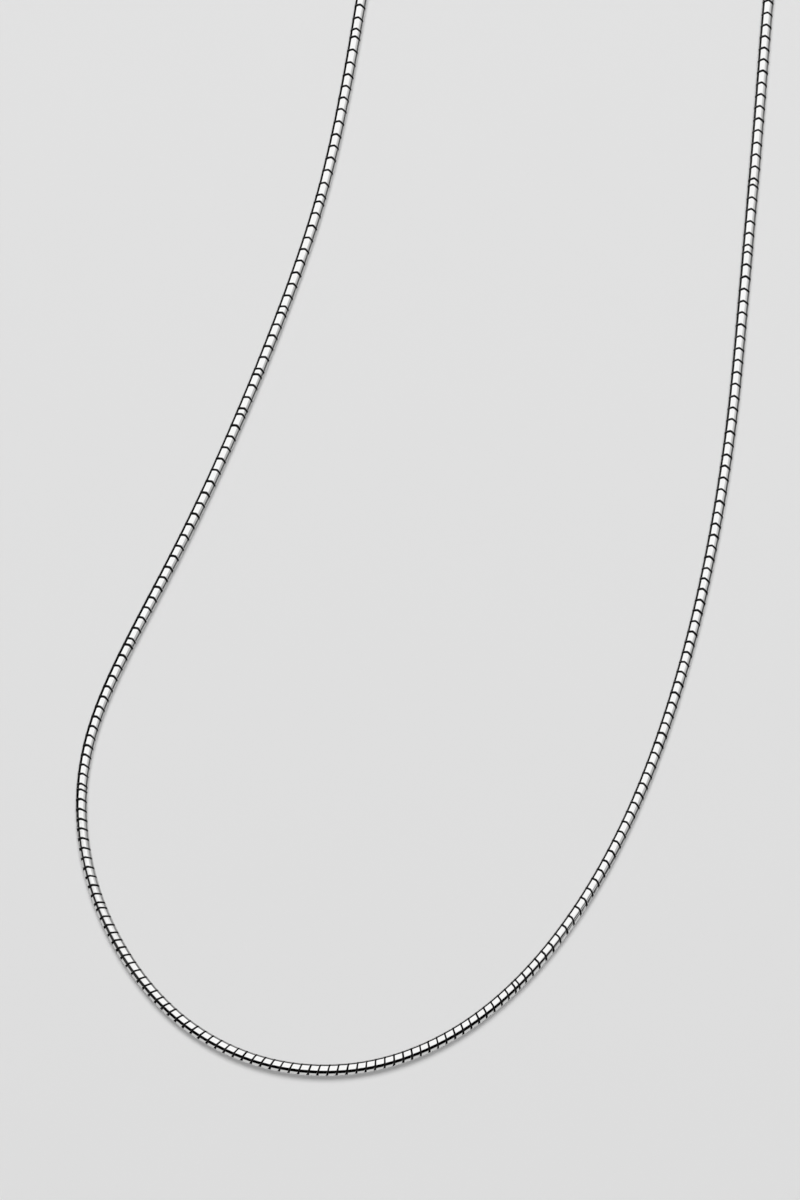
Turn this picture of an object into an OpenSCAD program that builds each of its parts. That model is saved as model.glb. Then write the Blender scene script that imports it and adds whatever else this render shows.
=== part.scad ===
// Round snake chain (neck chain), laid flat in its loop on a surface.
// Z = 0 is the surface, the origin is the middle of the loop on that surface,
// +Y runs from the bottom of the loop to the clasp at the back of the neck.

/* [Chain] */
// Thickness of the chain, measured flat to flat
chain_d = 1.5; // [1.4:0.05:1.55]

/* [Clasp] */
// Length of the barrel clasp, mouth to mouth
clasp_l = 11; // [10:0.5:12]
// Outside diameter of the barrel clasp
clasp_d = 3; // [2.8:0.1:3.4]
// Diameter of the blind cup that takes each end of the chain
cup_d = 1.9; // [1.85:0.05:2.1]
// Depth of each cup
cup_deep = 2.6; // [2.2:0.1:3]
// Length of the rounded shoulder at each end of the barrel
shoulder_l = 1.2; // [0.8:0.1:1.6]

/* [Hidden] */
$fn = 64;

// Free space between the end of the chain and the floor of its cup
end_gap = 0.2;
// Middle of the clasp: across the loop, and up the loop
clasp_x = 20.5;
clasp_y = 94.5;
// Wall of the barrel round the mouth of a cup
lip = 0.25;
// Sides of the tube, and its rings in each span between two route points
sides = 8;
rings_per_span = 2;

// Where a chain end stops inside its cup, and where it leaves the mouth,
// both counted from the middle of the clasp
end_x = clasp_l / 2 - cup_deep + end_gap;
mouth_x = clasp_l / 2 + 0.8;

// The route of the chain's middle line, seen from above: [across, up the loop].
// It starts in the left cup, runs down the left strand, round the bottom
// bend, up the right strand and back to the right cup.
arch_left = [[9.0, 93.9], [1.8, 90.1], [-3.4, 81.6], [-5.6, 69.4], [-6.8, 55.8]];
left_strand = [[-8.9, 41.8], [-11.1, 29.2], [-13.95, 16.8], [-18.0, 4.6],
    [-22.65, -7.3], [-27.75, -19.1], [-33.35, -30.6], [-39.25, -42.0]];
bottom_bend = [[-43.95, -53.9], [-44.3, -66.6], [-40.15, -78.55], [-32.2, -88.5],
    [-21.0, -94.2], [-8.4, -94.7], [3.4, -90.2], [13.1, -82.0]];
right_strand = [[20.7, -71.7], [26.5, -60.4], [30.9, -48.4], [34.3, -36.1],
    [36.85, -23.5], [38.7, -10.8], [39.9, 1.9], [41.0, 14.6], [42.1, 27.4],
    [43.2, 41.8]];
arch_right = [[44.5, 55.2], [44.9, 68.6], [43.4, 81.2], [38.8, 89.8], [32.0, 93.8]];

route = concat(
    [[clasp_x - end_x, clasp_y], [clasp_x - mouth_x, clasp_y]],
    arch_left, left_strand, bottom_bend, right_strand, arch_right,
    [[clasp_x + mouth_x, clasp_y], [clasp_x + end_x, clasp_y]]);
spans = len(route) - 1;

// Route point i, running straight on past each end
function knot(i) =
    i < 0 ? route[0] + i * (route[1] - route[0]) :
    i > spans ? route[spans] + (i - spans) * (route[spans] - route[spans - 1]) :
    route[i];

// A point pulled out from knot i, so that the smooth curve below, which cuts
// every corner a little, still runs through the knots
function guide(i) = knot(i) - (knot(i - 1) - 2 * knot(i) + knot(i + 1)) / 6;

// An evenly bending curve: place t (0 to 1) of the span from b to c
function smooth(a, b, c, d, t) =
    (a * pow(1 - t, 3) + b * (3 * pow(t, 3) - 6 * t * t + 4)
        + c * (-3 * pow(t, 3) + 3 * t * t + 3 * t + 1) + d * pow(t, 3)) / 6;

// The curve at u, which counts spans from the start
function flat_at(u) =
    let (i = min(floor(u), spans - 1))
    smooth(guide(i - 1), guide(i), guide(i + 1), guide(i + 2), u - i);

// Height of the middle line: half the chain's thickness where it lies on the
// surface, rising smoothly over three spans to the clasp's axis
rise_spans = 3;
function ease(t) = t <= 0 ? 0 : t >= 1 ? 1 : t * t * (3 - 2 * t);
function height_at(u) =
    chain_d / 2 + (clasp_d - chain_d) / 2
        * (1 - ease((min(u, spans - u) - 1) / rise_spans));

function place_at(u) = let (p = flat_at(u)) [p[0], p[1], height_at(u)];
function unit(v) = v / norm(v);
function heading_at(u) =
    unit(place_at(min(u + 0.05, spans)) - place_at(max(u - 0.05, 0)));

// One ring of the tube, square to the route, with a flat side underneath
function ring_at(u) =
    let (p = place_at(u), t = heading_at(u),
         across = unit(cross(t, [0, 0, 1])), up = cross(across, t),
         r = chain_d / 2 / cos(180 / sides))
    [for (k = [0 : sides - 1])
        let (a = (k + 0.5) * 360 / sides - 90)
        p + r * (cos(a) * across + sin(a) * up)];

ring_u = [for (i = [0 : spans * rings_per_span]) i / rings_per_span];
rings = len(ring_u);

// The chain as one closed tube along its route
module snake_chain() {
    pts = [for (u = ring_u) each ring_at(u)];
    walls = [for (i = [0 : rings - 2]) for (k = [0 : sides - 1])
        let (a = i * sides + k, b = i * sides + (k + 1) % sides)
        each [[a, b, b + sides], [a, b + sides, a + sides]]];
    first = [for (k = [sides - 1 : -1 : 0]) k];
    last = [for (k = [0 : sides - 1]) (rings - 1) * sides + k];
    color("silver") polyhedron(points = pts, faces = concat(walls, [first, last]));
}

// Half of the barrel's outline: [radius, distance along from the middle]
function shoulder_profile() =
    let (r0 = cup_d / 2 + lip, dr = clasp_d / 2 - r0)
    [for (a = [0 : 15 : 90])
        [r0 + dr * sin(90 - a), clasp_l / 2 - shoulder_l + shoulder_l * sin(a)]];

// The closure: a plain barrel with a blind cup in each end
module clasp() {
    top = shoulder_profile();
    bottom = [for (i = [len(top) - 1 : -1 : 0]) [top[i][0], -top[i][1]]];
    color("silver")
        translate([clasp_x, clasp_y, clasp_d / 2])
            rotate([0, 90, 0])
                difference() {
                    rotate_extrude()
                        polygon(concat([[0, -clasp_l / 2]], bottom, top,
                            [[0, clasp_l / 2]]));
                    for (s = [-1, 1])
                        translate([0, 0, s * (clasp_l / 2 - cup_deep / 2 + 0.5)])
                            cylinder(d = cup_d, h = cup_deep + 1, center = true);
                }
}

snake_chain();
clasp();
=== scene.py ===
"""Looks for the snake chain: every link of the chain, its inner core, painted near black as shade, and
the barrel clasp, on a plain pale floor, seen from straight above.

All lengths in the tables below are millimetres, in the same frame as the CAD model:
+Z up from the surface, +Y from the bottom of the loop to the clasp.
"""
import math

import bpy
import numpy as np
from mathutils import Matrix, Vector


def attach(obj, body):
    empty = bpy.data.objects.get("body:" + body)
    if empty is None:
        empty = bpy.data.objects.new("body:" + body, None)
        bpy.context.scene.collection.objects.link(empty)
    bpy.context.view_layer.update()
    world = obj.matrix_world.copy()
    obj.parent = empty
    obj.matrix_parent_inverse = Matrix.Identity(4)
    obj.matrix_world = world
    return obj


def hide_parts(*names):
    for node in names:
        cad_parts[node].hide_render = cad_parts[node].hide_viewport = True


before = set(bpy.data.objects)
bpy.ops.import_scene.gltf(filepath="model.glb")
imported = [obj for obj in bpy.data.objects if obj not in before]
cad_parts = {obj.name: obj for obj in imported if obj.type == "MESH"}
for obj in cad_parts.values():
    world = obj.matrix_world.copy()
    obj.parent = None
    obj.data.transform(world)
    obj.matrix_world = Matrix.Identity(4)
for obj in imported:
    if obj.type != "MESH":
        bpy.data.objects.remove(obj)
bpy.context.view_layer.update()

MM = 0.001
rng = np.random.default_rng(1857)

# --------------------------------------------------------------------------
# The route, as the part's source has it
# --------------------------------------------------------------------------
CHAIN_D = 1.5
CLASP_L, CLASP_D, CUP_D, CUP_DEEP, END_GAP = 11.0, 3.0, 1.9, 2.6, 0.2
CLASP_X, CLASP_Y = 20.5, 94.5
END_X = CLASP_L / 2 - CUP_DEEP + END_GAP
MOUTH_X = CLASP_L / 2 + 0.8

ARCH_LEFT = [[9.0, 93.9], [1.8, 90.1], [-3.4, 81.6], [-5.6, 69.4], [-6.8, 55.8]]
LEFT_STRAND = [[-8.9, 41.8], [-11.1, 29.2], [-13.95, 16.8], [-18.0, 4.6],
               [-22.65, -7.3], [-27.75, -19.1], [-33.35, -30.6], [-39.25, -42.0]]
BOTTOM_BEND = [[-43.95, -53.9], [-44.3, -66.6], [-40.15, -78.55], [-32.2, -88.5],
               [-21.0, -94.2], [-8.4, -94.7], [3.4, -90.2], [13.1, -82.0]]
RIGHT_STRAND = [[20.7, -71.7], [26.5, -60.4], [30.9, -48.4], [34.3, -36.1],
                [36.85, -23.5], [38.7, -10.8], [39.9, 1.9], [41.0, 14.6],
                [42.1, 27.4], [43.2, 41.8]]
ARCH_RIGHT = [[44.5, 55.2], [44.9, 68.6], [43.4, 81.2], [38.8, 89.8], [32.0, 93.8]]

ROUTE = np.array([[CLASP_X - END_X, CLASP_Y], [CLASP_X - MOUTH_X, CLASP_Y]]
                 + ARCH_LEFT + LEFT_STRAND + BOTTOM_BEND + RIGHT_STRAND + ARCH_RIGHT
                 + [[CLASP_X + MOUTH_X, CLASP_Y], [CLASP_X + END_X, CLASP_Y]])
SPANS = len(ROUTE) - 1
RISE_SPANS = 3


def knot(i):
    if i < 0:
        return ROUTE[0] + i * (ROUTE[1] - ROUTE[0])
    if i > SPANS:
        return ROUTE[-1] + (i - SPANS) * (ROUTE[-1] - ROUTE[-2])
    return ROUTE[i]


def guide(i):
    return knot(i) - (knot(i - 1) - 2 * knot(i) + knot(i + 1)) / 6


GUIDES = np.array([guide(i) for i in range(-1, SPANS + 2)])


def place_at(u):
    """Points of the route at u, an array that counts spans from the start."""
    u = np.asarray(u, float)
    i = np.minimum(np.floor(u).astype(int), SPANS - 1)
    t = (u - i)[:, None]
    a, b, c, d = GUIDES[i], GUIDES[i + 1], GUIDES[i + 2], GUIDES[i + 3]
    flat = (a * (1 - t) ** 3 + b * (3 * t ** 3 - 6 * t * t + 4)
            + c * (-3 * t ** 3 + 3 * t * t + 3 * t + 1) + d * t ** 3) / 6
    e = np.clip((np.minimum(u, SPANS - u) - 1) / RISE_SPANS, 0, 1)
    high = CHAIN_D / 2 + (CLASP_D - CHAIN_D) / 2 * (1 - e * e * (3 - 2 * e))
    return np.column_stack([flat, high])


FINE_U = np.linspace(0, SPANS, SPANS * 160 + 1)
FINE_P = place_at(FINE_U)
FINE_S = np.concatenate([[0], np.cumsum(np.linalg.norm(np.diff(FINE_P, axis=0), axis=1))])
LENGTH = float(FINE_S[-1])
FINE_T = np.gradient(FINE_P, FINE_S, axis=0)
FINE_T /= np.linalg.norm(FINE_T, axis=1)[:, None]
# Where the chain comes into the picture on the left, counted along the chain
S_IN = float(np.interp(2 + len(ARCH_LEFT), FINE_U, FINE_S))


def along(s):
    """Point, heading, outward side and up side of the route at length s."""
    s = np.atleast_1d(s)
    p = np.column_stack([np.interp(s, FINE_S, FINE_P[:, k]) for k in range(3)])
    t = np.column_stack([np.interp(s, FINE_S, FINE_T[:, k]) for k in range(3)])
    t /= np.linalg.norm(t, axis=1)[:, None]
    out = np.cross(t, [0.0, 0.0, 1.0])
    out /= np.linalg.norm(out, axis=1)[:, None]
    return p, t, out, np.cross(out, t)


# --------------------------------------------------------------------------
# The links
# --------------------------------------------------------------------------
# How the links lie along the chain. at: distance along from where the chain comes
# into the picture on the left; pitch: seam to seam; uneven: how much that varies;
# short_every: one link in this many is a short one, 0 for none.
LINK_TABLE = [
    dict(at=-80.0, pitch=1.54, uneven=0.05, short_every=11),
    dict(at=0.0, pitch=1.59, uneven=0.08, short_every=18),
    dict(at=32.0, pitch=1.58, uneven=0.05, short_every=7),
    dict(at=64.0, pitch=1.54, uneven=0.04, short_every=24),
    dict(at=90.0, pitch=1.46, uneven=0.04, short_every=0),
    dict(at=104.0, pitch=1.23, uneven=0.05, short_every=12),
    dict(at=128.0, pitch=1.14, uneven=0.04, short_every=0),
    dict(at=150.0, pitch=1.24, uneven=0.025, short_every=0),
    dict(at=176.0, pitch=1.21, uneven=0.025, short_every=0),
    dict(at=188.0, pitch=1.20, uneven=0.04, short_every=8),
    dict(at=196.0, pitch=1.46, uneven=0.03, short_every=0),
    dict(at=212.0, pitch=1.38, uneven=0.03, short_every=0),
    dict(at=236.0, pitch=1.36, uneven=0.03, short_every=0),
    dict(at=262.0, pitch=1.50, uneven=0.04, short_every=30),
    dict(at=280.0, pitch=1.52, uneven=0.05, short_every=5),
    dict(at=304.0, pitch=1.54, uneven=0.04, short_every=14),
    dict(at=330.0, pitch=1.54, uneven=0.05, short_every=11),
    dict(at=380.0, pitch=1.54, uneven=0.05, short_every=11),
]

# How the seams run round the chain, which turns slowly about itself along the loop.
# gable: how far the seam's two arms sweep forward (+) or back (-) from its ridge on
# top and underneath to the chain's sides; slant: how far the arm on the loop's inner
# side is ahead of the outer one; ridge: where the ridge is, from the top of the chain
# outwards; gap: how wide the seam is.
SEAM_TABLE = [
    dict(at=-90.0, gable=0.57, slant=0.03, ridge=0.0, gap=0.245),
    dict(at=10.0, gable=0.57, slant=0.03, ridge=0.0, gap=0.245),
    dict(at=24.0, gable=0.56, slant=0.03, ridge=-0.05, gap=0.245),
    dict(at=38.0, gable=0.55, slant=0.03, ridge=-0.10, gap=0.245),
    dict(at=53.0, gable=0.49, slant=0.03, ridge=-0.09, gap=0.270),
    dict(at=70.0, gable=0.46, slant=0.03, ridge=-0.085, gap=0.275),
    dict(at=88.0, gable=0.44, slant=0.04, ridge=-0.08, gap=0.275),
    dict(at=96.0, gable=0.43, slant=0.08, ridge=0.0, gap=0.265),
    dict(at=105.0, gable=0.43, slant=0.14, ridge=0.09, gap=0.255),
    dict(at=122.0, gable=0.40, slant=0.08, ridge=0.09, gap=0.245),
    dict(at=136.0, gable=0.28, slant=0.16, ridge=0.09, gap=0.220),
    dict(at=148.0, gable=0.17, slant=0.25, ridge=0.03, gap=0.212),
    dict(at=161.0, gable=0.05, slant=0.31, ridge=0.0, gap=0.212),
    dict(at=174.0, gable=-0.09, slant=0.28, ridge=-0.02, gap=0.212),
    dict(at=185.0, gable=-0.18, slant=0.29, ridge=-0.03, gap=0.212),
    dict(at=200.0, gable=-0.43, slant=0.30, ridge=-0.06, gap=0.235),
    dict(at=218.0, gable=-0.47, slant=0.13, ridge=-0.08, gap=0.255),
    dict(at=236.0, gable=-0.51, slant=0.11, ridge=-0.05, gap=0.255),
    dict(at=253.0, gable=-0.57, slant=0.10, ridge=-0.055, gap=0.255),
    dict(at=273.0, gable=-0.59, slant=0.06, ridge=-0.03, gap=0.255),
    dict(at=292.0, gable=-0.62, slant=0.06, ridge=0.0, gap=0.250),
    dict(at=322.0, gable=-0.62, slant=0.06, ridge=0.0, gap=0.250),
    dict(at=380.0, gable=-0.62, slant=0.06, ridge=0.0, gap=0.250),
]
# How rounded a seam's ridge is (part of the way to the side), and its bend at the sides
RIDGE_ROUND = 0.07
SIDE_BEND = 0.99
# How much wider a seam is on the chain's outer side, which the loop's bends open
OPEN_OUT = 0.40

# One link's outline along the chain, from its rim inwards: how far from the rim,
# and how far from the chain's middle line. The rims stand a little proud of the
# middle of the link, with a crisp rolled edge, and turn in to the core.
RIM_OUTLINE = [
    # from_rim, radius
    (0.020, 0.640),
    (0.000, 0.680),
    (0.000, 0.716),
    (0.003, 0.730),
    (0.011, 0.742),
    (0.030, 0.748),
    (0.080, 0.750),
    (0.180, 0.748),
    (0.340, 0.745),
]
MID_RADIUS = 0.744
CORE_RADIUS = 0.715
AROUND = 52
# The links' rings aren't quite round: they lean a little towards the inner side
OVAL = -0.010


def table_value(table, s, column):
    return float(np.interp(s - S_IN, [r["at"] for r in table], [r[column] for r in table]))


def seams():
    """Places of the seams along the chain, and each one's own small differences."""
    places, s, since_short = [], 0.12, 0
    while s < LENGTH - 0.12:
        places.append(s)
        pitch = table_value(LINK_TABLE, s, "pitch") * (
            1 + table_value(LINK_TABLE, s, "uneven") * rng.uniform(-1.3, 1.3))
        rows = [r for r in LINK_TABLE if r["at"] <= s - S_IN] or LINK_TABLE[:1]
        every = rows[-1]["short_every"]
        since_short += 1
        if every and since_short > 2 and rng.random() < 1.0 / every:
            pitch *= rng.uniform(0.50, 0.62)
            since_short = 0
        s += pitch
    n = len(places)
    read = lambda column: np.array([table_value(SEAM_TABLE, q, column) for q in places])
    return (np.array(places),
            dict(gable=read("gable") * rng.uniform(0.93, 1.07, n) + rng.normal(0, 0.012, n),
                 slant=read("slant") + rng.normal(0, 0.014, n),
                 ridge=read("ridge") + rng.normal(0, 0.02, n),
                 gap=read("gap") * rng.uniform(0.88, 1.12, n)))


def seam_wave(own, k, phi):
    """How far ahead seam k is at phi, from 0 on the inner side over the top. Its arms
    run straight over the chain's surface, as a zigzag of four legs round the chain."""
    turn = own["ridge"][k] / (CHAIN_D / 2)
    leg = np.arcsin(SIDE_BEND * np.cos(phi - turn)) / (math.pi / 2)
    arms = np.sqrt(leg ** 2 + RIDGE_ROUND ** 2) - RIDGE_ROUND
    return own["gable"][k] * arms + own["slant"][k] * leg


def grid_mesh(name, grids, closed_rows, material):
    """One joined mesh from several grids of points. Each grid is (points[row, col, 3]
    in mm, attributes); columns close round the chain, and rows close too if
    closed_rows."""
    verts, quads, uvs, attrs = [], [], [], {}
    base = 0
    for pts, extra in grids:
        rows, cols, _ = pts.shape
        verts.append(pts.reshape(-1, 3))
        r = np.arange(rows if closed_rows else rows - 1)
        c = np.arange(cols)
        R, C = np.meshgrid(r, c, indexing="ij")
        R2, C2 = (R + 1) % rows, (C + 1) % cols
        q = np.stack([R * cols + C, R * cols + C2, R2 * cols + C2, R2 * cols + C], -1)
        quads.append(q.reshape(-1, 4) + base)
        U = np.stack([C, C + 1, C + 1, C], -1) / cols
        way = extra["way"]
        V = np.stack([way[R, C], way[R, C2], way[R2, C2], way[R2, C]], -1)
        uvs.append(np.stack([U, V], -1).reshape(-1, 2))
        for key, value in extra.items():
            if key != "way":
                attrs.setdefault(key, []).append(
                    np.broadcast_to(value, (rows, cols)).reshape(-1))
        base += rows * cols
    verts = np.concatenate(verts) * MM
    quads = np.concatenate(quads)
    mesh = bpy.data.meshes.new(name)
    mesh.vertices.add(len(verts))
    mesh.vertices.foreach_set("co", verts.astype(np.float32).ravel())
    mesh.loops.add(quads.size)
    mesh.loops.foreach_set("vertex_index", quads.astype(np.int32).ravel())
    mesh.polygons.add(len(quads))
    mesh.polygons.foreach_set("loop_start", np.arange(0, quads.size, 4, dtype=np.int32))
    mesh.polygons.foreach_set("loop_total", np.full(len(quads), 4, np.int32))
    mesh.polygons.foreach_set("use_smooth", np.ones(len(quads), bool))
    uv = mesh.uv_layers.new(name="UVMap")
    uv.data.foreach_set("uv", np.concatenate(uvs).astype(np.float32).ravel())
    for key, parts in attrs.items():
        a = mesh.attributes.new(key, "FLOAT", "POINT")
        a.data.foreach_set("value", np.concatenate(parts).astype(np.float32))
    mesh.update(calc_edges=True)
    mesh.validate()
    obj = bpy.data.objects.new(name, mesh)
    bpy.context.scene.collection.objects.link(obj)
    obj.data.materials.append(material)
    return obj


def link_grid(k, places, own):
    """The points of the link between seams k and k + 1. A link is stiff, so it lies
    straight on the route at its own middle."""
    phi = np.linspace(0, 2 * np.pi, AROUND, endpoint=False)
    half = (1 + OPEN_OUT * np.maximum(-np.cos(phi), 0) ** 2) / 2
    start = places[k] + seam_wave(own, k, phi) + own["gap"][k] * half
    end = places[k + 1] + seam_wave(own, k + 1, phi) - own["gap"][k + 1] * half
    middle = (places[k] + places[k + 1]) / 2
    long = end - start
    squeeze = np.minimum(1.0, long / 0.80)
    ways, radii, near = [], [], []
    for d, r in RIM_OUTLINE:
        ways.append(start + d * squeeze); radii.append(np.full(AROUND, r)); near.append(d)
    ways.append((start + end) / 2); radii.append(np.full(AROUND, MID_RADIUS)); near.append(9.0)
    for d, r in reversed(RIM_OUTLINE):
        ways.append(end - d * squeeze); radii.append(np.full(AROUND, r)); near.append(d)
    ways, radii = np.array(ways), np.array(radii)
    # the walls that turn in to the core get painted seam shade
    inside = (radii < 0.725).astype(float)
    # a small press mark near the middle of some links
    if rng.random() < 0.22:
        where, deep = rng.uniform(0, 2 * np.pi), rng.uniform(0.004, 0.012)
        mark = np.exp(-((np.angle(np.exp(1j * (phi - where)))) / 0.8) ** 2)
        mid = len(RIM_OUTLINE)
        radii[mid] -= deep * mark
        radii[mid - 1] -= 0.4 * deep * mark
        radii[mid + 1] -= 0.4 * deep * mark
    # no two links are quite as thick, or lie quite true
    radii *= rng.normal(1.0, 0.0015) * (1 - OVAL * np.sin(2 * phi))
    p, t, out, up = (v[0] for v in along(middle))
    lean_out, lean_up = rng.normal(0, 0.006, 2)
    t = t + lean_out * out + lean_up * up
    t /= np.linalg.norm(t)
    out = out - (out @ t) * t
    out /= np.linalg.norm(out)
    up = np.cross(out, t)
    across = -np.cos(phi)[:, None] * out + np.sin(phi)[:, None] * up
    pts = (p + (ways - middle)[..., None] * t + radii[..., None] * across[None])
    # the seam attribute carries painted shade: near black at the rims' crisp edges and on the walls
    # turning in to the core
    rim = np.clip(1 - np.array(near) / 0.04, 0, 1)[:, None] * 0.95
    return pts, dict(way=ways, seam=np.maximum(rim * np.ones_like(radii), inside),
                     link_tone=float(rng.random()))


def core_grid(s0, s1, step=0.35, around=40, radius=CORE_RADIUS):
    """The inner tube seen in the gaps between the links, near black as painted shade."""
    n = int(math.ceil((s1 - s0) / step)) + 1
    s = np.linspace(s0, s1, n)
    p, _, out, up = along(s)
    phi = np.linspace(0, 2 * np.pi, around, endpoint=False)
    ring = (-np.cos(phi)[None, :, None] * out[:, None] + np.sin(phi)[None, :, None] * up[:, None])
    pts = p[:, None] + radius * ring
    ends = [np.repeat(pts[:1].mean(1, keepdims=True), around, 1),
            pts, np.repeat(pts[-1:].mean(1, keepdims=True), around, 1)]
    way = np.concatenate([s[:1], s, s[-1:]])[:, None] * np.ones((1, around))
    return np.concatenate(ends), dict(way=way, seam=1.0, link_tone=0.5)


# --------------------------------------------------------------------------
# Materials
# --------------------------------------------------------------------------
class Shader:
    """A small helper for node materials."""

    def __init__(self, name):
        self.mat = bpy.data.materials.new(name)
        self.mat.use_nodes = True
        self.nodes, self.links = self.mat.node_tree.nodes, self.mat.node_tree.links
        self.nodes.clear()
        self.out = self.nodes.new("ShaderNodeOutputMaterial")
        self.bsdf = self.nodes.new("ShaderNodeBsdfPrincipled")
        self.links.new(self.bsdf.outputs["BSDF"], self.out.inputs["Surface"])

    def add(self, kind, inputs=None, **settings):
        n = self.nodes.new(kind)
        for key, value in settings.items():
            setattr(n, key, value)
        for key, value in (inputs or {}).items():
            if isinstance(value, bpy.types.NodeSocket):
                self.links.new(value, n.inputs[key])
            else:
                n.inputs[key].default_value = value
        return n

    def maths(self, operation, a, b=0.0, clamp=False):
        n = self.nodes.new("ShaderNodeMath")
        n.operation, n.use_clamp = operation, clamp
        for i, v in enumerate((a, b)):
            if isinstance(v, bpy.types.NodeSocket):
                self.links.new(v, n.inputs[i])
            else:
                n.inputs[i].default_value = v
        return n.outputs[0]

    def ramp(self, fac, stops):
        n = self.nodes.new("ShaderNodeValToRGB")
        el = n.color_ramp.elements
        while len(el) < len(stops):
            el.new(0.5)
        for e, (pos, val) in zip(el, stops):
            e.position = pos
            e.color = (*val, 1) if isinstance(val, tuple) else (val, val, val, 1)
        self.links.new(fac, n.inputs["Fac"])
        return n.outputs["Color"]

    def mix(self, fac, a, b):
        n = self.nodes.new("ShaderNodeMix")
        n.data_type = "RGBA"
        for key, v in ((0, fac), (6, a), (7, b)):
            if isinstance(v, bpy.types.NodeSocket):
                self.links.new(v, n.inputs[key])
            else:
                n.inputs[key].default_value = v
        return n.outputs[2]


def polished_silver(name, use_link_tone):
    """Mirror-polished silver: very fine polishing lines and faint cloudiness. Painted shade, near black
    and a little rougher, at the links' rims and in the seams' gaps, and in the clasp's groove and cups."""
    m = Shader(name)
    uv = m.add("ShaderNodeUVMap", uv_map="UVMap").outputs["UV"]
    obj = m.add("ShaderNodeTexCoord").outputs["Object"]
    seam = m.add("ShaderNodeAttribute", attribute_name="seam").outputs["Fac"]
    tone = m.add("ShaderNodeAttribute", attribute_name="link_tone").outputs["Fac"]
    stretch = m.add("ShaderNodeMapping", {"Vector": uv, "Scale": (3.0, 60.0, 1.0)}).outputs["Vector"]
    lines = m.add("ShaderNodeTexNoise", {"Vector": stretch, "Scale": 1.0, "Detail": 4.0,
                                         "Roughness": 0.6}).outputs["Fac"]
    cloud = m.add("ShaderNodeTexNoise", {"Vector": obj, "Scale": 900.0, "Detail": 3.0,
                                         "Roughness": 0.55}).outputs["Fac"]
    fine = m.add("ShaderNodeTexNoise", {"Vector": obj, "Scale": 5200.0, "Detail": 2.0}).outputs["Fac"]
    # colour: silver with slow clouds, each link a touch different, and painted shade, near black, in the
    # seams
    base = m.mix(m.ramp(cloud, [(0.30, 0.0), (0.75, 1.0)]),
                 (0.97, 0.97, 0.965, 1), (0.94, 0.94, 0.935, 1))
    if use_link_tone:
        base = m.mix(m.maths("MULTIPLY", tone, 0.30), base, (0.88, 0.88, 0.875, 1))
    # painted shade: where the seam attribute is high the colour goes near black
    painted_seam_shade = m.maths("MULTIPLY", m.ramp(seam, [(0.20, 0.0), (0.95, 1.0)]),
                    m.ramp(fine, [(0.2, 0.85), (0.7, 1.0)]))
    base = m.mix(painted_seam_shade, base, (0.035, 0.035, 0.035, 1))
    m.links.new(base, m.bsdf.inputs["Base Color"])
    rough = m.maths("ADD", 0.035, m.maths("MULTIPLY", lines, 0.04))
    rough = m.maths("ADD", rough, m.maths("MULTIPLY", cloud, 0.03))
    rough = m.maths("ADD", rough, m.maths("MULTIPLY", painted_seam_shade, 0.30))
    m.links.new(rough, m.bsdf.inputs["Roughness"])
    m.bsdf.inputs["Metallic"].default_value = 1.0
    bump = m.add("ShaderNodeBump", {"Height": lines, "Strength": 0.15, "Distance": 0.000003})
    m.links.new(bump.outputs["Normal"], m.bsdf.inputs["Normal"])
    return m.mat


def painted_shade_core():
    """Near-black, unreflecting metal inside the chain: painted shade for the gaps between the links."""
    m = Shader("silver_core_painted_shade")
    obj = m.add("ShaderNodeTexCoord").outputs["Object"]
    cloud = m.add("ShaderNodeTexNoise", {"Vector": obj, "Scale": 2500.0, "Detail": 3.0}).outputs["Fac"]
    m.links.new(m.mix(cloud, (0.006, 0.006, 0.006, 1), (0.016, 0.016, 0.016, 1)),
                m.bsdf.inputs["Base Color"])
    m.links.new(m.maths("ADD", 0.45, m.maths("MULTIPLY", cloud, 0.25)), m.bsdf.inputs["Roughness"])
    m.bsdf.inputs["Metallic"].default_value = 0.0
    m.bsdf.inputs["Specular IOR Level"].default_value = 0.0
    bump = m.add("ShaderNodeBump", {"Height": cloud, "Strength": 0.3, "Distance": 0.00001})
    m.links.new(bump.outputs["Normal"], m.bsdf.inputs["Normal"])
    return m.mat


SILVER = polished_silver("polished_silver_links", True)
CLASP_SILVER = polished_silver("polished_silver_clasp", False)
CORE = painted_shade_core()

# --------------------------------------------------------------------------
# The chain's pieces
# --------------------------------------------------------------------------
PLACES, OWN = seams()
LINKS = [link_grid(k, PLACES, OWN) for k in range(len(PLACES) - 1)]
link_mid = (PLACES[:-1] + PLACES[1:]) / 2
# The links are joined in five runs: the two strands, the bend and the back arch's halves
cuts = [0.0, S_IN, S_IN + 115.0, S_IN + 208.0, S_IN + 322.0, LENGTH + 1]
RUNS = ["links_arch_left", "links_left_strand", "links_bottom_bend",
        "links_right_strand", "links_arch_right"]
pieces = []
for name, a, b in zip(RUNS, cuts[:-1], cuts[1:]):
    grids = [g for g, q in zip(LINKS, link_mid) if a <= q < b]
    piece = grid_mesh(name, grids, True, SILVER)
    pieces.append(piece)
# the inner tube, painted near black as the shade in the gaps
core = grid_mesh("chain_core", [core_grid(0.2, LENGTH - 0.2)], False, CORE)
pieces.append(core)
for piece in pieces:
    piece.visible_diffuse = False
    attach(piece, "root")
    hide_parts("snake_chain")

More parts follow.
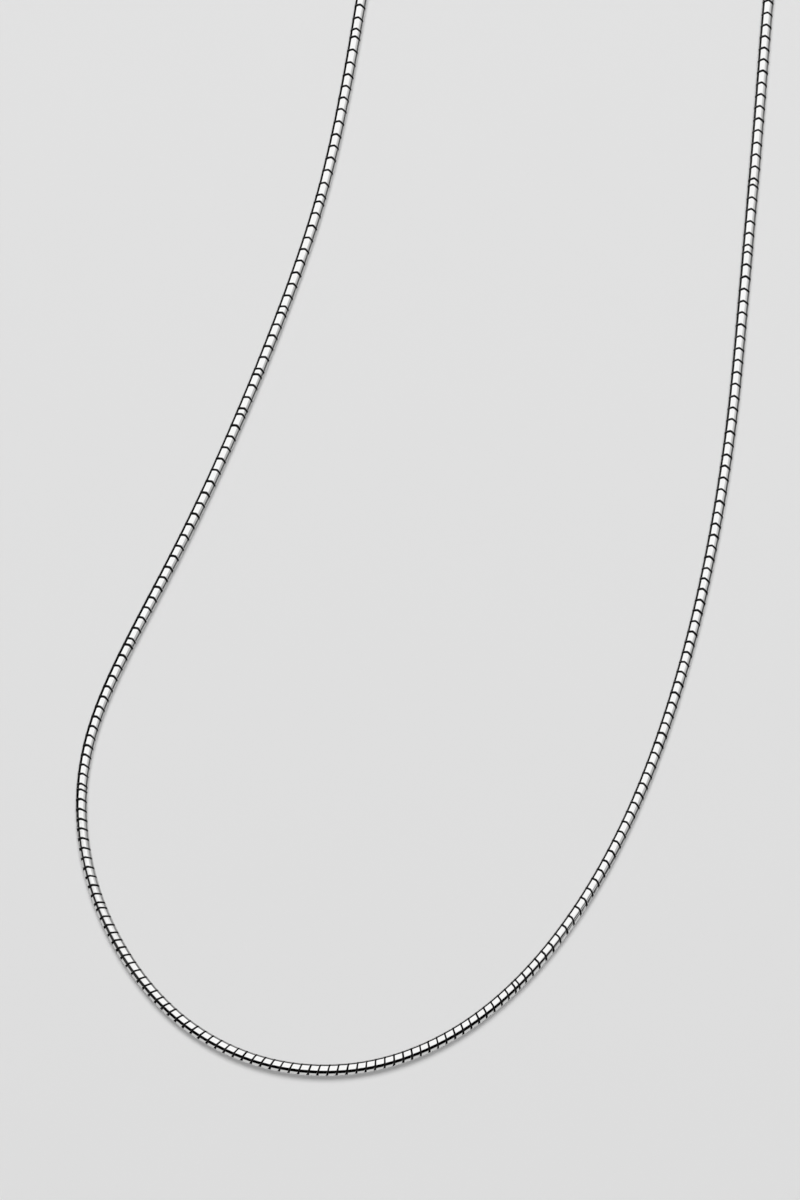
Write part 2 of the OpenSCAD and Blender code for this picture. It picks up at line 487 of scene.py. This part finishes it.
# --------------------------------------------------------------------------
# The clasp: a turned barrel with a blind cup in each end
# --------------------------------------------------------------------------
HALF_BARREL = [
    # along (from the middle), radius
    (0.000, 1.405), (0.050, 1.405), (0.065, 1.420), (0.075, 1.470), (0.100, 1.492),
    (0.150, 1.500), (0.400, 1.500), (1.200, 1.500), (2.400, 1.500), (3.600, 1.500),
    (4.200, 1.500), (4.400, 1.494), (4.620, 1.478), (4.840, 1.450), (5.040, 1.410),
    (5.200, 1.362), (5.320, 1.310), (5.400, 1.255), (5.450, 1.200), (5.486, 1.140),
    (5.500, 1.075), (5.490, 1.020), (5.455, 0.975), (5.400, 0.952), (5.300, 0.950),
    (4.600, 0.950), (3.700, 0.950), (2.960, 0.950), (2.915, 0.935), (2.900, 0.900),
    (2.900, 0.450), (2.900, 0.000),
]


def barrel_grid(around=96):
    right = [(x, r) for x, r in HALF_BARREL]
    line = [(-x, r) for x, r in reversed(right)] + right[1:]
    x = np.array([p[0] for p in line]); r = np.array([p[1] for p in line])
    phi = np.linspace(0, 2 * np.pi, around, endpoint=False)
    pts = np.zeros((len(line), around, 3))
    pts[..., 0] = CLASP_X + x[:, None]
    pts[..., 1] = CLASP_Y - r[:, None] * np.sin(phi)[None]
    pts[..., 2] = CLASP_D / 2 + r[:, None] * np.cos(phi)[None]
    # the seam attribute carries painted shade: the groove round the barrel's middle and the insides of
    # the cups go near black
    groove = np.clip(1 - np.abs(x) / 0.12, 0, 1)
    cup = ((np.abs(x) < 5.42) & (r < 0.96)).astype(float)
    return pts, dict(way=x[:, None] * np.ones((1, around)),
                     seam=np.maximum(groove, cup)[:, None], link_tone=0.3)


clasp = grid_mesh("clasp_barrel", [barrel_grid()], False, CLASP_SILVER)
clasp.visible_diffuse = False
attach(clasp, "root")
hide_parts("clasp")

# --------------------------------------------------------------------------
# Floor: flat and pale, turning up into a low round backdrop far outside the view
# --------------------------------------------------------------------------
FLOOR_FLAT, FLOOR_CURVE, FLOOR_WALL = 1.9, 0.5, 0.5


def floor_rings(turns=72):
    line = [(0.002, 0.0), (0.3, 0.0), (FLOOR_FLAT, 0.0)]
    line += [(FLOOR_FLAT + FLOOR_CURVE * math.sin(a), FLOOR_CURVE * (1 - math.cos(a)))
             for a in np.radians(np.arange(9, 91, 9))]
    line += [(FLOOR_FLAT + FLOOR_CURVE, FLOOR_CURVE + FLOOR_WALL)]
    verts, faces = [], []
    for r, h in line:
        for k in range(turns):
            a = 2 * math.pi * k / turns
            verts.append((r * math.cos(a), r * math.sin(a), h - 0.00002))
    for i in range(len(line) - 1):
        for k in range(turns):
            k2 = (k + 1) % turns
            faces.append((i * turns + k, (i + 1) * turns + k, (i + 1) * turns + k2, i * turns + k2))
    faces.append(tuple(range(turns)))
    return verts, faces


floor_mesh = bpy.data.meshes.new("floor")
floor_mesh.from_pydata(*floor_rings()[:1], [], floor_rings()[1])
for face in floor_mesh.polygons:
    face.use_smooth = True
floor = bpy.data.objects.new("floor", floor_mesh)
bpy.context.scene.collection.objects.link(floor)
fl = Shader("pale_floor")
fl_obj = fl.add("ShaderNodeTexCoord").outputs["Object"]
fl_noise = fl.add("ShaderNodeTexNoise", {"Vector": fl_obj, "Scale": 60.0, "Detail": 3.0}).outputs["Fac"]
FLOOR_TONE = 0.80
fl.links.new(fl.mix(fl_noise, (FLOOR_TONE - 0.003,) * 3 + (1,), (FLOOR_TONE + 0.003,) * 3 + (1,)),
             fl.bsdf.inputs["Base Color"])
fl.bsdf.inputs["Roughness"].default_value = 1.0
fl.bsdf.inputs["Specular IOR Level"].default_value = 0.0
floor_mesh.materials.append(fl.mat)
floor.visible_glossy = False
floor.visible_diffuse = False

# --------------------------------------------------------------------------
# The studio round the chain, which only the polished metal reflects: a white dome
# down to a dark horizon, a grey falling side on the right and a grey front.
# --------------------------------------------------------------------------
world = bpy.data.worlds.new("soft_studio")
bpy.context.scene.world = world
world.use_nodes = True
if hasattr(world, "cycles_visibility"):
    world.cycles_visibility.diffuse = False
wn, wl = world.node_tree.nodes, world.node_tree.links
wn.clear()
w_out = wn.new("ShaderNodeOutputWorld")
w_bg = wn.new("ShaderNodeBackground")
w_co = wn.new("ShaderNodeTexCoord")
w_xyz = wn.new("ShaderNodeSeparateXYZ")
wl.new(w_co.outputs["Generated"], w_xyz.inputs[0])
wl.new(w_bg.outputs[0], w_out.inputs[0])


def wmath(op, a, b=0.0):
    n = wn.new("ShaderNodeMath")
    n.operation = op
    for i, v in enumerate((a, b)):
        if isinstance(v, bpy.types.NodeSocket):
            wl.new(v, n.inputs[i])
        else:
            n.inputs[i].default_value = v
    return n.outputs[0]


def wstep(value, low, high):
    """0 below low, 1 above high, smooth between."""
    n = wn.new("ShaderNodeMapRange")
    n.interpolation_type = "SMOOTHSTEP"
    for key, v in (("Value", value), ("From Min", low), ("From Max", high)):
        if isinstance(v, bpy.types.NodeSocket):
            wl.new(v, n.inputs[key])
        else:
            n.inputs[key].default_value = v
    return n.outputs["Result"]


def wmix(fac, a, b):
    """a where fac is 0, b where it is 1."""
    return wmath("ADD", a, wmath("MULTIPLY", fac, wmath("SUBTRACT", b, a)))


def wfall(tilt, stops):
    """Brightness by tilt from straight up, in degrees."""
    n = wn.new("ShaderNodeValToRGB")
    el = n.color_ramp.elements
    while len(el) < len(stops):
        el.new(0.5)
    for e, (deg, val) in zip(el, stops):
        e.position = deg / 180
        e.color = (val, val, val, 1)
    wl.new(wmath("DIVIDE", tilt, 180.0), n.inputs["Fac"])
    return n.outputs["Color"]


wx, wy, wz = (w_xyz.outputs[k] for k in "XYZ")
tilt = wmath("MULTIPLY", wmath("ARCCOSINE", wz), 180 / math.pi)
flat_len = wmath("MAXIMUM", wmath("SQRT", wmath("ADD", wmath("MULTIPLY", wx, wx),
                                                wmath("MULTIPLY", wy, wy))), 0.0001)
cx, cy = wmath("DIVIDE", wx, flat_len), wmath("DIVIDE", wy, flat_len)
up_z = wmath("MAXIMUM", wz, 0.03)
gx, gy = wmath("DIVIDE", wx, up_z), wmath("DIVIDE", wy, up_z)   # where a direction meets a flat ceiling
front = wmath("MULTIPLY", gy, -1.0)

WHITE = 1.0
# the dome, down to an edge that is lower at the back and higher at the front
lift = wmath("SUBTRACT", cy, 0.2)
edge = wmath("ADD", 69.0, wmath("ADD", wmath("MULTIPLY", wmath("MAXIMUM", lift, 0.0), 26.0),
                                wmath("MULTIPLY", wmath("MINIMUM", lift, 0.0), 47.0)))
below = wstep(tilt, wmath("SUBTRACT", edge, 2.5), wmath("ADD", edge, 2.5))
level = wmix(below, WHITE, wmath("MULTIPLY", wstep(cx, 0.0, 0.5), 0.17))
# the right side
right = wstep(wmath("SUBTRACT", cx, wmath("MULTIPLY", cy, 0.8)), 0.3, 0.9)
level = wmix(right, level, wfall(tilt, [(0, 0.98), (30, 0.98), (40, 0.69), (51, 0.59), (62, 0.56),
                                        (70, 0.52), (77, 0.28), (85, 0.04), (100, 0.04), (120, 0.19),
                                        (180, 0.38)]))
# a pale reflector low on the right, a little towards the back
low_card = wmath("MULTIPLY", wstep(cx, 0.5, 0.8),
                 wmath("MULTIPLY", wstep(cy, -0.15, 0.10), wmath("SUBTRACT", 1.0, wstep(cy, 0.42, 0.60))))
level = wmath("MAXIMUM", level, wmath("MULTIPLY", low_card, 0.26))
# the pale floor, seen past the chain's sides
level = wmix(wstep(tilt, 120.0, 137.0), level, 0.52)
# the front
ahead_right = wstep(wmath("MULTIPLY", cx, -1.0), 0.3, 0.0)
ahead = wstep(wmath("SUBTRACT", wmath("MULTIPLY", cy, -1.0), wmath("MULTIPLY", cx, 0.25)),
              wmix(ahead_right, 0.25, 0.29), wmix(ahead_right, 0.54, 0.41))
level = wmix(ahead, level, wfall(tilt, [(0, 0.98), (50, 0.62), (60, 0.62), (80, 0.62),
                                        (100, 0.58), (120, 0.56), (180, 0.58)]))
# a grey card at the front right
card = wmath("MULTIPLY", wmath("MULTIPLY", wstep(front, 0.15, 0.40), wstep(gx, 0.35, 0.60)),
             wmath("SUBTRACT", 1.0, wstep(tilt, 87.0, 89.0)))
level = wmath("MINIMUM", level, wmix(card, WHITE, 0.5))
wl.new(level, w_bg.inputs["Strength"])
w_bg.inputs["Color"].default_value = (1, 1, 1, 1)

# --------------------------------------------------------------------------
# Lamps for the floor: a wide softbox high behind the back of the loop, and an even
# fill without shadows
# --------------------------------------------------------------------------
AIM = Vector((-0.004, -0.035, 0.0))
KEY_FAR, KEY_HIGH, KEY_HALF = 3.0, math.radians(56), math.radians(13)
KEY_SHARE, FLOOR_LEVEL = 0.58, 0.741


def add_lamp(name, kind, place, aim):
    data = bpy.data.lights.new(name, kind)
    obj = bpy.data.objects.new(name, data)
    bpy.context.scene.collection.objects.link(obj)
    obj.location = place
    obj.rotation_mode = "QUATERNION"
    obj.rotation_quaternion = (aim - place).to_track_quat("-Z", "Y")
    obj.visible_glossy = False
    obj.visible_camera = False
    return obj


key = add_lamp("key_softbox", "AREA",
               AIM + KEY_FAR * Vector((0, math.cos(KEY_HIGH), math.sin(KEY_HIGH))), AIM)
key.data.shape = "DISK"
key_half = KEY_FAR * math.tan(KEY_HALF)
key.data.size = 2 * key_half
key_tone = KEY_SHARE * FLOOR_LEVEL / (FLOOR_TONE * math.sin(KEY_HALF) ** 2 * math.sin(KEY_HIGH))
key.data.energy = key_tone * math.pi ** 2 * key_half ** 2
fill = add_lamp("fill", "SUN", AIM + Vector((0, 0, 2.5)), AIM)
fill.data.energy = (1 - KEY_SHARE) * FLOOR_LEVEL * math.pi / FLOOR_TONE
fill.data.use_shadow = False

# --------------------------------------------------------------------------
# Camera: straight down at the picture's middle
# --------------------------------------------------------------------------
PX = 0.128 * MM                      # one pixel of the 800 x 1200 frame, on the chain's middle plane
CAM_UP = 1.0
cam_data = bpy.data.cameras.new("camera")
cam = bpy.data.objects.new("camera", cam_data)
bpy.context.scene.collection.objects.link(cam)
cam.location = ((399.5 - 430) * PX, (326.5625 - 599.5) * PX, CHAIN_D / 2 * MM + CAM_UP)
cam.rotation_euler = (0, 0, 0)
cam_data.sensor_width = 36
cam_data.lens = 18 / (600 * PX / CAM_UP)
cam_data.clip_start, cam_data.clip_end = 0.01, 20
cam_data.dof.use_dof = False
bpy.context.scene.camera = cam

# --------------------------------------------------------------------------
# Black cards hung low over the surface, beyond the bottom bend and the left flank.
# Only the polished metal sees them. Their outline is set by what the chain shows of
# them from straight above: at: distance along the chain; near, far: the card's two
# edges, as tilts of the mirrored direction from straight up; dark: how black it is.
# The number is the card's height above the chain's middle.
# --------------------------------------------------------------------------
CARD_TABLES = [
    ("front_card", 10.0, [
        dict(at=62.0, near=73.0, far=92.0, dark=0.0),
        dict(at=66.0, near=72.0, far=92.0, dark=1.0),
        dict(at=77.0, near=69.0, far=92.0, dark=1.0),
        dict(at=82.0, near=66.0, far=92.0, dark=1.0),
        dict(at=92.0, near=63.5, far=92.0, dark=1.0),
        dict(at=102.0, near=63.5, far=92.0, dark=1.0),
        dict(at=107.5, near=61.0, far=92.0, dark=1.0),
        dict(at=112.5, near=54.0, far=92.0, dark=0.98),
        dict(at=118.0, near=45.0, far=92.0, dark=0.95),
        dict(at=123.0, near=39.0, far=92.0, dark=0.94),
        dict(at=128.0, near=27.5, far=91.0, dark=0.94),
        dict(at=133.0, near=25.0, far=88.0, dark=0.96),
        dict(at=138.0, near=21.5, far=80.0, dark=1.0),
        dict(at=143.5, near=17.5, far=76.0, dark=1.0),
        dict(at=148.5, near=11.5, far=73.0, dark=1.0),
        dict(at=153.5, near=10.0, far=70.0, dark=1.0),
        dict(at=158.5, near=9.5, far=74.0, dark=1.0),
        dict(at=164.0, near=14.5, far=78.5, dark=1.0),
        dict(at=169.0, near=12.0, far=76.0, dark=1.0),
        dict(at=174.0, near=11.5, far=71.0, dark=1.0),
        dict(at=179.0, near=14.5, far=76.0, dark=1.0),
        dict(at=184.5, near=20.0, far=76.5, dark=1.0),
        dict(at=189.5, near=22.0, far=72.0, dark=1.0),
        dict(at=194.5, near=28.5, far=72.0, dark=0.94),
        dict(at=199.5, near=29.5, far=56.0, dark=0.85),
        dict(at=204.5, near=30.0, far=50.0, dark=0.32),
        dict(at=209.0, near=31.0, far=50.0, dark=0.0),
    ]),
    ("right_card", 12.0, [
        dict(at=193.0, near=76.0, far=92.0, dark=0.0),
        dict(at=199.5, near=68.0, far=92.0, dark=0.85),
        dict(at=204.5, near=66.5, far=92.0, dark=0.92),
        dict(at=210.0, near=74.0, far=92.0, dark=0.40),
        dict(at=216.0, near=78.0, far=92.0, dark=0.0),
    ]),
]
CARD_REACH = 24.0      # how far out a card reaches at most, in its heights above the chain's middle


def soft_step(x, low, high):
    t = np.clip((x - low) / (high - low), 0, 1)
    return t * t * (3 - 2 * t)


def card_grid(high, rows, tilts=88):
    at = np.arange(rows[0]["at"], rows[-1]["at"] + 0.5, 1.0)
    near, far, dark = (np.interp(at, [r["at"] for r in rows], [r[c] for r in rows])[:, None]
                       for c in ("near", "far", "dark"))
    p, _, out, up = along(S_IN + at)
    lean = np.radians(np.linspace(3.0, 90.0, tilts)) / 2
    normal = (np.sin(lean)[None, :, None] * out[:, None] + np.cos(lean)[None, :, None] * up[:, None])
    spot = p[:, None] + CHAIN_D / 2 * normal
    ray = spot - np.array(cam.location) / MM
    ray /= np.linalg.norm(ray, axis=2, keepdims=True)
    ray -= 2 * (ray * normal).sum(2, keepdims=True) * normal
    flat = np.linalg.norm(ray[..., :2], axis=2)
    reach = flat / np.maximum(ray[..., 2], 0.001)
    tilt_at = np.degrees(np.arctan(reach))
    go = ray[..., :2] / flat[..., None] * np.minimum(reach, CARD_REACH)[..., None]
    rise = CHAIN_D / 2 + high - spot[..., 2:]
    pts = np.concatenate([spot[..., :2] + rise * go, spot[..., 2:] + rise], 2)
    shade = (dark * soft_step(tilt_at, near - 1.4, near + 1.4)
             * (1 - soft_step(tilt_at, far - 3.0, far + 3.0)))
    return pts, shade


card_mat = bpy.data.materials.new("black_card")
card_mat.use_nodes = True
cn, cl = card_mat.node_tree.nodes, card_mat.node_tree.links
cn.clear()
c_out, c_mix = cn.new("ShaderNodeOutputMaterial"), cn.new("ShaderNodeMixShader")
c_att, c_black = cn.new("ShaderNodeAttribute"), cn.new("ShaderNodeBsdfDiffuse")
c_att.attribute_name = "shade"
c_black.inputs["Color"].default_value = (0, 0, 0, 1)
cl.new(c_att.outputs["Fac"], c_mix.inputs[0])
cl.new(cn.new("ShaderNodeBsdfTransparent").outputs[0], c_mix.inputs[1])
cl.new(c_black.outputs[0], c_mix.inputs[2])
cl.new(c_mix.outputs[0], c_out.inputs["Surface"])
for card_name, high, rows in CARD_TABLES:
    pts, shade = card_grid(high, rows)
    n_at, n_tilt = shade.shape
    R, C = np.meshgrid(np.arange(n_at - 1), np.arange(n_tilt - 1), indexing="ij")
    quads = np.stack([R * n_tilt + C, R * n_tilt + C + 1, (R + 1) * n_tilt + C + 1,
                      (R + 1) * n_tilt + C], -1).reshape(-1, 4)
    card_mesh = bpy.data.meshes.new(card_name)
    card_mesh.from_pydata((pts.reshape(-1, 3) * MM).tolist(), [], quads.tolist())
    card_mesh.attributes.new("shade", "FLOAT", "POINT").data.foreach_set(
        "value", shade.astype(np.float32).ravel())
    card_mesh.materials.append(card_mat)
    hung = bpy.data.objects.new(card_name, card_mesh)
    bpy.context.scene.collection.objects.link(hung)
    hung.visible_camera = hung.visible_diffuse = hung.visible_transmission = False
    hung.visible_volume_scatter = hung.visible_shadow = False

bpy.context.scene.view_settings.view_transform = "Standard"
bpy.context.scene.view_settings.look = "None"
